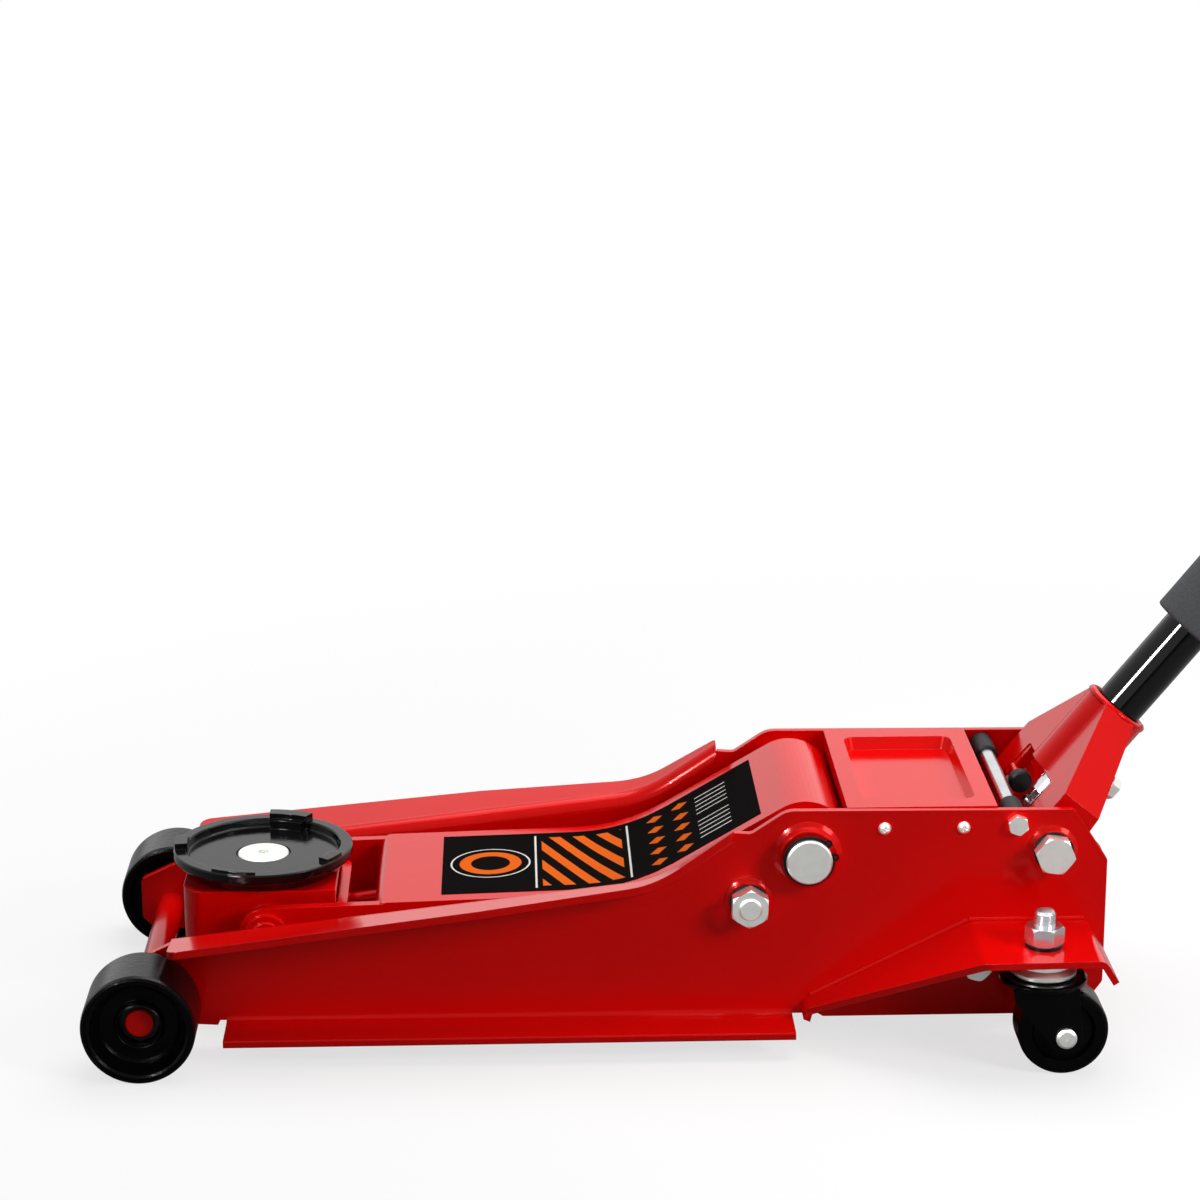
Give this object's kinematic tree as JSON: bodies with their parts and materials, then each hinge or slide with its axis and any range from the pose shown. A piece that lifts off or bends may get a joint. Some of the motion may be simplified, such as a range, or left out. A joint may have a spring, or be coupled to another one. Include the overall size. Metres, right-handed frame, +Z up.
{
  "type": "car jack",
  "caption": "Low-profile hydraulic trolley jack with lifting arm, round saddle, tool tray, swivel casters and a long two-piece pump handle with foam sleeve.",
  "frame": {"origin": "middle of the bounding box on the floor, in the jack's middle plane", "axes": "+Z up, the saddle end points to -X and the handle end to +X, so left_ parts lie at -Y and right_ parts at +Y"},
  "size_m": [1.4546, 0.3798, 1.0355],
  "materials": {
    "red_paint": "gloss",
    "black_paint": "satin",
    "black_wheel": "satin black paint",
    "black_gloss_tube": "gloss",
    "black_steel": "black oxide",
    "zinc_steel": "bright zinc",
    "chromed_rod": "hard chrome",
    "spring_steel": "bright",
    "black_rubber": "matte",
    "grey_foam": "matte foam"
  },
  "bodies": {
    "chassis": {"left_side_plate": "red_paint", "right_side_plate": "red_paint", "left_caster_bracket": "red_paint", "right_caster_bracket": "red_paint", "front_axle": "red_paint", "wheel_retainers": "black_steel", "main_pivot_pin": "zinc_steel", "pivot_circlips": "black_steel", "anchor_shaft": "zinc_steel", "anchor_nuts": "zinc_steel", "black_washers": "black_steel", "cover_tray": "red_paint", "cover_screws": "zinc_steel", "stop_rod": "chromed_rod", "stop_rod_sleeves": "black_rubber", "stop_rod_bolts": "zinc_steel", "pump_block": "red_paint", "oil_tank": "red_paint", "ram_gland": "zinc_steel", "unit_bolts": "zinc_steel", "filler_plug": "black_steel", "pump_cylinder": "zinc_steel", "pump_spring": "spring_steel", "return_springs": "spring_steel", "yoke_bolts": "zinc_steel", "caster_studs": "zinc_steel", "caster_nuts": "zinc_steel", "caster_races": "zinc_steel"},
    "left_front_wheel": {"left_front_wheel": "black_wheel"},
    "right_front_wheel": {"right_front_wheel": "black_wheel"},
    "lift_arm": {"lift_arm": "red_paint", "crank_pin": "zinc_steel", "head_pivot_pin": "red_paint"},
    "tie_rods": {"left_tie_rod": "red_paint", "right_tie_rod": "red_paint"},
    "head": {"head_bracket": "red_paint", "rod_pivot_pin": "zinc_steel", "saddle_bolt": "zinc_steel"},
    "saddle": {"saddle": "black_paint"},
    "ram": {"ram": "chromed_rod"},
    "ram_links": {"ram_links": "red_paint", "ram_pin": "zinc_steel"},
    "yoke": {"yoke": "red_paint", "set_screw": "zinc_steel", "pump_roller": "zinc_steel", "stop_roller": "black_rubber"},
    "handle": {"handle_lower_tube": "black_gloss_tube", "handle_upper_tube": "black_gloss_tube", "handle_joint_bolt": "zinc_steel", "foam_sleeve": "grey_foam", "handle_grip": "black_rubber", "joint_socket": "zinc_steel"},
    "release_valve": {"release_valve": "zinc_steel"},
    "pump_plunger": {"pump_plunger": "chromed_rod"},
    "left_caster": {"left_caster_fork": "black_paint", "left_caster_axle": "zinc_steel"},
    "left_caster_wheel": {"left_caster_wheel": "black_wheel"},
    "right_caster": {"right_caster_fork": "black_paint", "right_caster_axle": "zinc_steel"},
    "right_caster_wheel": {"right_caster_wheel": "black_wheel"}
  },
  "joints": [
    {"name": "lift", "type": "hinge", "parent": "chassis", "child": "lift_arm", "pos_m": [-0.1781, 0, 0.153], "axis": [0, 1, 0], "range_deg": [0, 54], "deforming": ["return_springs"]},
    {"name": "tie_rod_swing", "type": "hinge", "parent": "chassis", "child": "tie_rods", "pos_m": [-0.2225, 0, 0.1158], "axis": [0, 1, 0], "range_deg": [0, 54]},
    {"name": "head_level", "type": "hinge", "parent": "lift_arm", "child": "head", "pos_m": [-0.59286, 0, 0.08434], "axis": [0, 1, 0], "range_deg": [-54, 0]},
    {"name": "saddle_turn", "type": "hinge", "parent": "head", "child": "saddle", "pos_m": [-0.59926, 0, 0.12], "axis": [0, 0, 1], "continuous": true},
    {"name": "ram_stroke", "type": "slide", "parent": "chassis", "child": "ram", "axis": [-1, 0, 0], "range_m": [0, 0.0681]},
    {"name": "link_swing", "type": "hinge", "parent": "lift_arm", "child": "ram_links", "pos_m": [-0.1406, 0, 0.08805], "axis": [0, 1, 0], "range_deg": [-54, 0]},
    {"name": "yoke_tilt", "type": "hinge", "parent": "chassis", "child": "yoke", "pos_m": [0.0092, 0, 0.1547], "axis": [0, 1, 0], "range_deg": [-39, 36]},
    {"name": "handle_twist", "type": "hinge", "parent": "yoke", "child": "handle", "pos_m": [0.0092, 0, 0.1547], "axis": [0.6293, 0, 0.7771], "range_deg": [0, 180]},
    {"name": "valve_turn", "type": "hinge", "parent": "chassis", "child": "release_valve", "pos_m": [0.0092, 0, 0.1547], "axis": [0.6293, 0, 0.7771], "range_deg": [0, 180]},
    {"name": "pump_stroke", "type": "slide", "parent": "chassis", "child": "pump_plunger", "axis": [0, 0, 1], "range_m": [-0.018, 0.0195], "deforming": ["pump_spring"]},
    {"name": "left_front_roll", "type": "hinge", "parent": "chassis", "child": "left_front_wheel", "pos_m": [-0.6841, -0.138, 0.0432], "axis": [0, 1, 0], "continuous": true},
    {"name": "right_front_roll", "type": "hinge", "parent": "chassis", "child": "right_front_wheel", "pos_m": [-0.6841, 0.138, 0.0432], "axis": [0, 1, 0], "continuous": true},
    {"name": "left_swivel", "type": "hinge", "parent": "chassis", "child": "left_caster", "pos_m": [-0.0041, -0.154, 0.076], "axis": [0, 0, 1], "continuous": true},
    {"name": "right_swivel", "type": "hinge", "parent": "chassis", "child": "right_caster", "pos_m": [-0.0041, 0.154, 0.076], "axis": [0, 0, 1], "continuous": true},
    {"name": "left_rear_roll", "type": "hinge", "parent": "left_caster", "child": "left_caster_wheel", "pos_m": [0.0104, -0.154, 0.0342], "axis": [0, 1, 0], "continuous": true},
    {"name": "right_rear_roll", "type": "hinge", "parent": "right_caster", "child": "right_caster_wheel", "pos_m": [0.0104, 0.154, 0.0342], "axis": [0, 1, 0], "continuous": true}
  ],
  "couplings": [
    {"joint": "tie_rod_swing", "follows": "lift", "ratio": 1},
    {"joint": "head_level", "follows": "lift", "ratio": -1},
    {"joint": "ram_stroke", "follows": "lift", "m_per_rad": 0.07215},
    {"joint": "link_swing", "follows": "lift", "ratio": -1},
    {"joint": "valve_turn", "follows": "handle_twist", "ratio": 1},
    {"joint": "pump_stroke", "follows": "yoke_tilt", "m_per_rad": -0.0282}
  ]
}
